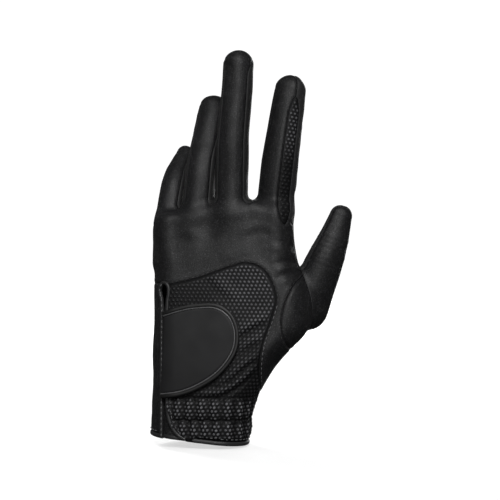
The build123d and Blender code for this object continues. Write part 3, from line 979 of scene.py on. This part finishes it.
def sweep(path, up, profile):
    """A tube along path, with profile as (across, outwards) from each point, closed at its ends."""
    along = unit(np.gradient(path, axis=0))
    across = unit(np.cross(along, up))
    up = np.cross(across, along)
    n, k = len(path), len(profile)
    verts = (path[:, None] + across[:, None] * profile[None, :, :1]
             + up[:, None] * profile[None, :, 1:]).reshape(-1, 3)
    i, j = np.meshgrid(np.arange(n - 1), np.arange(k), indexing="ij")
    a, b = (i * k + j).ravel(), (i * k + (j + 1) % k).ravel()
    tris = np.vstack([rows(a, a + k, b), rows(b, a + k, b + k)])
    cap = np.array([(0, m, m + 1) for m in range(1, k - 1)])
    tris = np.vstack([tris, cap, cap[:, ::-1] + (n - 1) * k])
    a, b, c = (verts[tris[:, m]] for m in range(3))
    volume = (np.cross(a, b) * c).sum()
    return verts, tris if volume > 0 else tris[:, ::-1]


def oval(width, height, rise=0.0, count=14, square=1.0):
    """The outline of a tube's section: square below 1 fills out its corners."""
    t = np.linspace(0, 2 * np.pi, count, endpoint=False)
    c, d = (np.sign(v) * np.abs(v) ** square for v in (np.cos(t), np.sin(t)))
    return rows(width / 2 * c, height / 2 * d + rise)


def stitches(path, up, length=1.9, gap=1.1, radius=0.24):
    """Thread that comes up and goes down again along a line, as points and triangles."""
    run = run_along(path)
    verts, tris = [], []
    points, corners = 7, 6  # along each stitch, and round it
    arch = np.sin(np.linspace(0, np.pi, points))
    size = np.repeat(0.45 + 0.55 * arch ** 0.5, corners)[:, None]
    for start in np.arange(gap / 2, run[-1] - length, length + gap):
        t = np.linspace(start, start + length, points)
        n = unit(at_run(t, run, up))
        p = at_run(t, run, path) + n * (0.30 * arch ** 0.6 - 0.22)[:, None]
        v, f = sweep(p, n, oval(2 * radius, 2 * radius, count=corners))
        centre = np.repeat(p, corners, axis=0)
        tris.append(f + len(verts) * len(v))
        verts.append(centre + (v - centre) * size)
    return np.vstack(verts), np.vstack(tris)


# ---- the sewn panels ----
verts, tris = surface()
for field in FIELDS:
    verts, tris = cut(verts, tris, field)
panel_of, part_of, gone = sorted_out(verts[tris].mean(1))
tris, panel_of, part_of = tris[~gone], panel_of[~gone], part_of[~gone]

# seam lines: the edges of every panel, wherever another panel or nothing starts
samples = []
sewn_of = np.where(panel_of == "cuff", "mesh", panel_of)  # the cuff is the same cloth, gathered
for panel in sorted(set(sewn_of)):
    edge = border_edges(tris[sewn_of == panel])
    a, b = verts[edge[:, 0]], verts[edge[:, 1]]
    samples += [a + (b - a) * t for t in (0.0, 0.25, 0.5, 0.75)]
samples = np.vstack(samples)
seams = kdtree.KDTree(len(samples))
for i, point in enumerate(samples):
    seams.insert(point, i)
seams.balance()

PANEL_LOOKS = {  # the webs and the side strip of the little finger are fourchette leather
    **dict.fromkeys(("back", "side", "gusset", "thumb_back"), back_leather),
    **dict.fromkeys(("palm", "thumb_front"), palm_leather),
    **dict.fromkeys(DOTTED, mesh_cloth),
}
PANEL_NODES = {  # the CAD nodes of the hand's own pieces
    "back": "back_panel", "palm": "palm_panel", "mesh": "mesh_insert", "cuff": "cuff_mesh",
    "side": "side_panel", "gusset": "thumb_gusset", "index_strip": "index_mesh_strip_lower",
    "little_strip": "little_outer_strip_lower", "thumb_back": "thumb_back_lower",
    "thumb_front": "thumb_front_lower",
}


def nodes_of(panel, part):
    """The CAD nodes that a panel's piece on the hand or on a digit stands for."""
    if panel.startswith("web_"):
        a, b = panel.split("_")[1:]
        if part == "hand":
            return [f"fourchette_{a}_{b}"]
        return [f"{part}_fourchette_{'little_side' if part == a else 'thumb_side'}_upper"]
    if part == "hand":
        return [PANEL_NODES[panel]]
    if panel in ("back", "palm"):
        face = "back" if panel == "back" else "front"
        return [f"{part}_{face}_lower", f"{part}_{face}_upper"]
    return [PANEL_NODES[panel].replace("lower", "upper")]


for panel in sorted(set(panel_of) - {"hem"}):
    p, t, _ = compact(verts, tris[panel_of == panel])
    own_part = part_of[panel_of == panel]
    if panel in DOTTED:
        p, t = halved(p, t)
        own_part = np.tile(own_part, 4)
        p = onto_form(p, rounds=1)
    smooth = form_normals(p)
    seam = np.array([seams.find(q)[2] for q in p])
    height, shade = relief(p, panel, seam)
    p = settled(p + smooth * height[:, None])
    normal = vertex_normals(p, t)
    values = {"seam": seam}
    if panel in DOTTED:
        values.update(flat=np.pad(unrolled(p, panel), ((0, 0), (0, 1))), shade=shade)
    for part in sorted(set(own_part)):
        name = f"{panel}_{part}" if panel != part else panel
        _, some, used = compact(p, t[own_part == part])
        v, f, corners = thick(p[used], some, normal[used], THICK)
        both = {key: np.concatenate([value[used]] * 2) for key, value in values.items()}
        obj = make(name, v, f, PANEL_LOOKS.get(panel, fourchette_leather), normals=corners, **both)
        if part == "hand":
            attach(obj, "hand")
        else:
            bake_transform(obj)
        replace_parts(obj, *nodes_of(panel, part))


# ---- bindings, tab, patches and elastic ----
def lifted(line, level, step=0.7):
    """A line in the XZ plane laid on the back: its points and the outward directions there."""
    flat = evenly(line, step)
    p = on_back(flat[:, 0], flat[:, 1], level)
    return p, form_normals(p)


def tube(name, path, up, profile, *looks):
    return make(name, *sweep(path, up, profile), *looks)


def patch(name, outline, level, depth, *looks, palm=False, crown=0.0):
    """A flat piece laid on the hand, with an eased edge."""
    outline = np.asarray(outline, float)
    step, ease = 0.7, 0.9  # of its grid, and width of the eased edge
    (x0, z0), (nx, nz) = outline.min(0), np.ceil(np.ptp(outline, axis=0) / step).astype(int) + 2
    i, j = np.meshgrid(np.arange(nx), np.arange(nz), indexing="ij")
    grid = rows(x0 + (i.ravel() - 0.5) * step, np.zeros(nx * nz), z0 + (j.ravel() - 0.5) * step)
    a = (i * nz + j)[:-1, :-1].ravel()
    t = np.vstack([rows(a, a + nz, a + nz + 1), rows(a, a + nz + 1, a + 1)])

    def depth_in(p):
        return -outline_distance(outline, p)

    for inset in (0.0, 0.35, ease):
        grid, t = cut(grid, t, lambda p: depth_in(p) - inset, snap=0.02)
    grid, t, _ = compact(grid, t[depth_in(grid[t].mean(1)) > 0])
    inner = depth_in(grid)
    eased = 0.45 * depth * (1 - np.clip(inner / ease, 0, 1)) ** 2
    height = level - eased + crown * ramp(inner, 0, 14)
    p = on_back(grid[:, 0], grid[:, 2], height, palm)
    n = vertex_normals(p, t)
    if (n * form_normals(p)).sum() < 0:
        t, n = t[:, ::-1], -n
    v, f, corners = thick(p, t, n, depth)
    return make(name, v, f, *looks, normals=corners)


def rounded(x0, x1, z0, z1, r=2.5):
    """The outline of a rectangle with round corners."""
    t = np.linspace(0, np.pi / 2, 6)
    corners = [(x1 - r, z0 + r, -np.pi / 2), (x1 - r, z1 - r, 0), (x0 + r, z1 - r, np.pi / 2),
               (x0 + r, z0 + r, np.pi)]
    return np.vstack([rows(x + r * np.cos(t + a), z + r * np.sin(t + a)) for x, z, a in corners])


def hem_z(x):
    """Height of the wrist hem."""
    return HEM_RISE - HEM_SLOPE * x


slit_line = smooth_curve(SLIT_LEFT + KEYHOLE + SLIT_RIGHT)
slit_line = slit_line[slit_line[:, 1] - HEM_RISE + HEM_SLOPE * slit_line[:, 0] > 0.4]
path, up = lifted(offset_line(slit_line, 0.85), -0.15)
slit_binding = tube("slit_binding", path, up, oval(2.0, 2.1, square=0.8), binding_cloth)
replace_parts(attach(slit_binding, "hand"), "slit_binding")

# the hem starts beside the flap, goes round the wrist and ends at the slit's left edge
turns = np.linspace(-1.2, 2 * np.pi - 0.3, 1100)
loop = ring(HEM_HEIGHT / 2, turns)
first = int(np.argmax(loop[:, 0] > SLIT_RIGHT[-1][0] - 0.6))
last = len(loop) - 1 - int(np.argmax((loop[::-1, 0] < SLIT_LEFT[0][0] - 0.3)))
path = evenly(loop[first:last + 1], 0.8)
section = oval(HEM_HEIGHT + 0.2, 1.9, rise=-0.4, count=16, square=0.75)
hem = tube("hem_binding", path, form_normals(path), section, binding_cloth)
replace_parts(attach(hem, "hand"), "hem_binding")

# the side panel reaches under the flap, so that the slit never shows the hand
under = patch("side_underlap", [(-23, hem_z(-23) + 1), (-1, hem_z(-1) + 1), (-1, 15), (-8, 33),
                                (-17.4, 33), (-17.4, 76), (-23, 76)], -1.5, 0.6, back_leather)
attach(under, "hand")
path, up = lifted([(-20.9, hem_z(-20.9) + 1.2), (-1, hem_z(-1) + 1.2)], -1.5)
section = oval(HEM_HEIGHT, 1.3, count=16, square=0.75)
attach(tube("underlap_hem", path, up, section, binding_cloth), "hand")


def on_tab(obj):
    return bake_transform(obj)


tab_line = smooth_curve(TAB_EDGE)
tab_face = patch("tab_face", offset_line(tab_line, TAB_BORDER + 0.75), 2.75, 0.5, tab_cloth,
                 crown=0.3)
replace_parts(on_tab(tab_face), "tab_skin")
on_tab(patch("tab_backing", offset_line(tab_line, 0.8), 2.25, 0.4, edging_cloth, "tab"))
path, up = lifted(offset_line(tab_line, TAB_BORDER / 2), 2.45)
section = oval(TAB_BORDER, 1.7, count=16, square=0.75)
edging = tube("tab_edging", path, up, section, edging_cloth)
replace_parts(on_tab(edging), "tab_edging")
path, up = lifted(offset_line(tab_line, TAB_BORDER + 0.2), 2.75)
on_tab(tube("tab_piping", path, up, oval(0.75, 0.8, count=10), piping_cloth, "tab_edging"))

hook = patch("hook_patch", rounded(-9, 11, 46, 68), 1.9, 0.8, hook_cloth)
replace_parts(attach(hook, "tab"), "hook_patch")
loops = patch("loop_patch", rounded(-12, 16, 41, 71), 0.85, 0.7, loop_cloth)
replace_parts(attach(loops, "hand"), "loop_patch")
root = patch("tab_root", rounded(-24.4, -21.0, 30.5, 75.5, 1.0), 0.75, 0.9, back_leather, "tab")
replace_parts(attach(root, "hand"), "tab_root")
for name, box in (("cuff_elastic_lower", (-8, 21, 8, 13)), ("cuff_elastic_upper", (-8, 21, 18, 23)),
                  ("palm_elastic", (-18, 21, 28, 34))):
    band = patch(name, rounded(*box, 0.6), -1.5, 0.7, elastic_cloth, palm=name == "palm_elastic")
    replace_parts(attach(band, "hand"), name)


# ---- stitches ----
def sewn(name, line, level, look, keep=None, **how):
    """Stitches along a line on the back, where keep says so."""
    path, up = lifted(line, level, 0.5)
    good = (np.abs(form(path) - level) < 0.05) & (back_field(path) > 0.3)
    if keep:
        good &= keep(*path.T)
    v, f = stitches(path[good], up[good], **how)
    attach(make(name, v, f, look, "binding", sharp=80), "hand")


arch_line = offset_line(smooth_curve(ARCH_EDGE), 1.1)
# painted shade and painted light: the arch's top and the gusset take the darker copy of the thread,
# the arch's side the lighter copy
sewn("stitches_arch", arch_line, 0.15, shaded_thread, lambda x, y, z: (z > 78) | (x < 30), radius=0.2)
sewn("stitches_arch_side", arch_line, 0.2, thread,
     lambda x, y, z: (z <= 78) & (z > 5) & (x > 30), radius=0.22)
sewn("stitches_gusset", offset_line(smooth_curve(GUSSET_EDGE), 1.1), 0.15, shaded_thread, radius=0.2)
sewn("stitches_slit", offset_line(slit_line, 0.9), 0.95, thread,
     lambda x, y, z: (x < -20) & (z > 3), length=1.5, gap=1.5, radius=0.3)
sewn("stitches_flap", offset_line(slit_line, 2.5), 0.35, thread,
     lambda x, y, z: (x > -19) & (z < 29))
# from a little behind the hem's start to a little before its end
path = evenly(ring(HEM_HEIGHT + 1.4, turns[first + 25:last - 10]), 0.5)
up = form_normals(path)
hem_thread = make("stitches_hem", *stitches(path + 0.3 * up, up), thread, "binding", sharp=80)
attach(hem_thread, "hand")

# ---- camera, light and stage, in metres ----
DISTANCE, FRAME = 0.700, 0.280  # camera to the back of the glove, and the width of the view there
MIDDLE = Vector((0.02, 0, 0.11))  # of the glove, where the lights point
camera = added("camera", bpy.data.cameras.new("camera"))
camera.data.sensor_width = 36
camera.data.lens = 36 * DISTANCE / FRAME
camera.location = (0.0278, -DISTANCE - 0.010, 0.108)
camera.rotation_euler = (math.radians(90), 0, 0)
bpy.context.scene.camera = camera


def softbox(name, where, size, power, shine=True):
    """A square light that points at the glove. Without shine, it leaves no highlight."""
    light = added(name, bpy.data.lights.new(name, "AREA"))
    light.data.size = size
    light.data.energy = power  # watts
    light.location = where
    light.rotation_euler = (MIDDLE - light.location).to_track_quat("-Z", "Y").to_euler()
    light.visible_camera = False
    light.visible_glossy = shine


# the front and the back are each lit from near the middle, so that edges turn dark
softbox("key", (0.15, -1.45, 1.25), 0.7, 36)
softbox("fill", (-0.25, -1.9, 0.20), 0.7, 9)
softbox("back", (-1.0, 1.4, 1.1), 0.8, 62, shine=False)
softbox("sheen", (0.5, 1.8, 0.5), 1.2, 16)
for name, x in (("left", -1.9), ("right", 1.9)):
    softbox(name, (x, 0.1, 0.7), 0.8, 13, shine=False)

world = bpy.data.worlds.new("studio")
world.use_nodes = True
world.node_tree.nodes["Background"].inputs["Color"].default_value = (1, 1, 1, 1)
world.node_tree.nodes["Background"].inputs["Strength"].default_value = 0.05
bpy.context.scene.world = world
bpy.context.scene.view_settings.view_transform = "Standard"

# a round studio: a pale floor that curves up into the wall behind every view
FLOOR_R, COVE_R, WALL_TOP, ROOF_TOP = 2.2, 0.9, 3.5, 3.9
ground = cad_box[0][2] - 0.0005
rim_line = [(0.0, 0.0), (1.5, 0.0)]
rim_line += [(FLOOR_R + COVE_R * math.sin(a), COVE_R - COVE_R * math.cos(a))
             for a in np.linspace(0, np.pi / 2, 20)]
rim_line += [(FLOOR_R + COVE_R, WALL_TOP), (0.0, ROOF_TOP)]
spin = np.linspace(0, 2 * np.pi, 97)[:-1]
k, n = len(rim_line), len(spin)
stage_mesh = bpy.data.meshes.new("stage")
stage_mesh.from_pydata(
    [(r * math.cos(a), r * math.sin(a), z + ground) for a in spin for r, z in rim_line], [],
    [(i * k + j, (i + 1) % n * k + j, (i + 1) % n * k + j + 1, i * k + j + 1)
     for i in range(n) for j in range(k - 1)])
stage_mesh.shade_smooth()
paper = Look("paper")
place = paper.add("NewGeometry").outputs["Position"]
far = paper.add("VectorMath", {"operation": "LENGTH"}, i0=place).outputs["Value"]
paper.finish(Base_Color=grey(0.35), Roughness=0.9, Emission_Color=(1, 1, 1),
             Emission_Strength=paper.ramp(far, 0.2, 1.1, 0.60, 0.96))
stage_mesh.materials.append(paper.material)
stage_obj = added("stage", stage_mesh)
stage_obj.visible_diffuse = stage_obj.visible_glossy = False
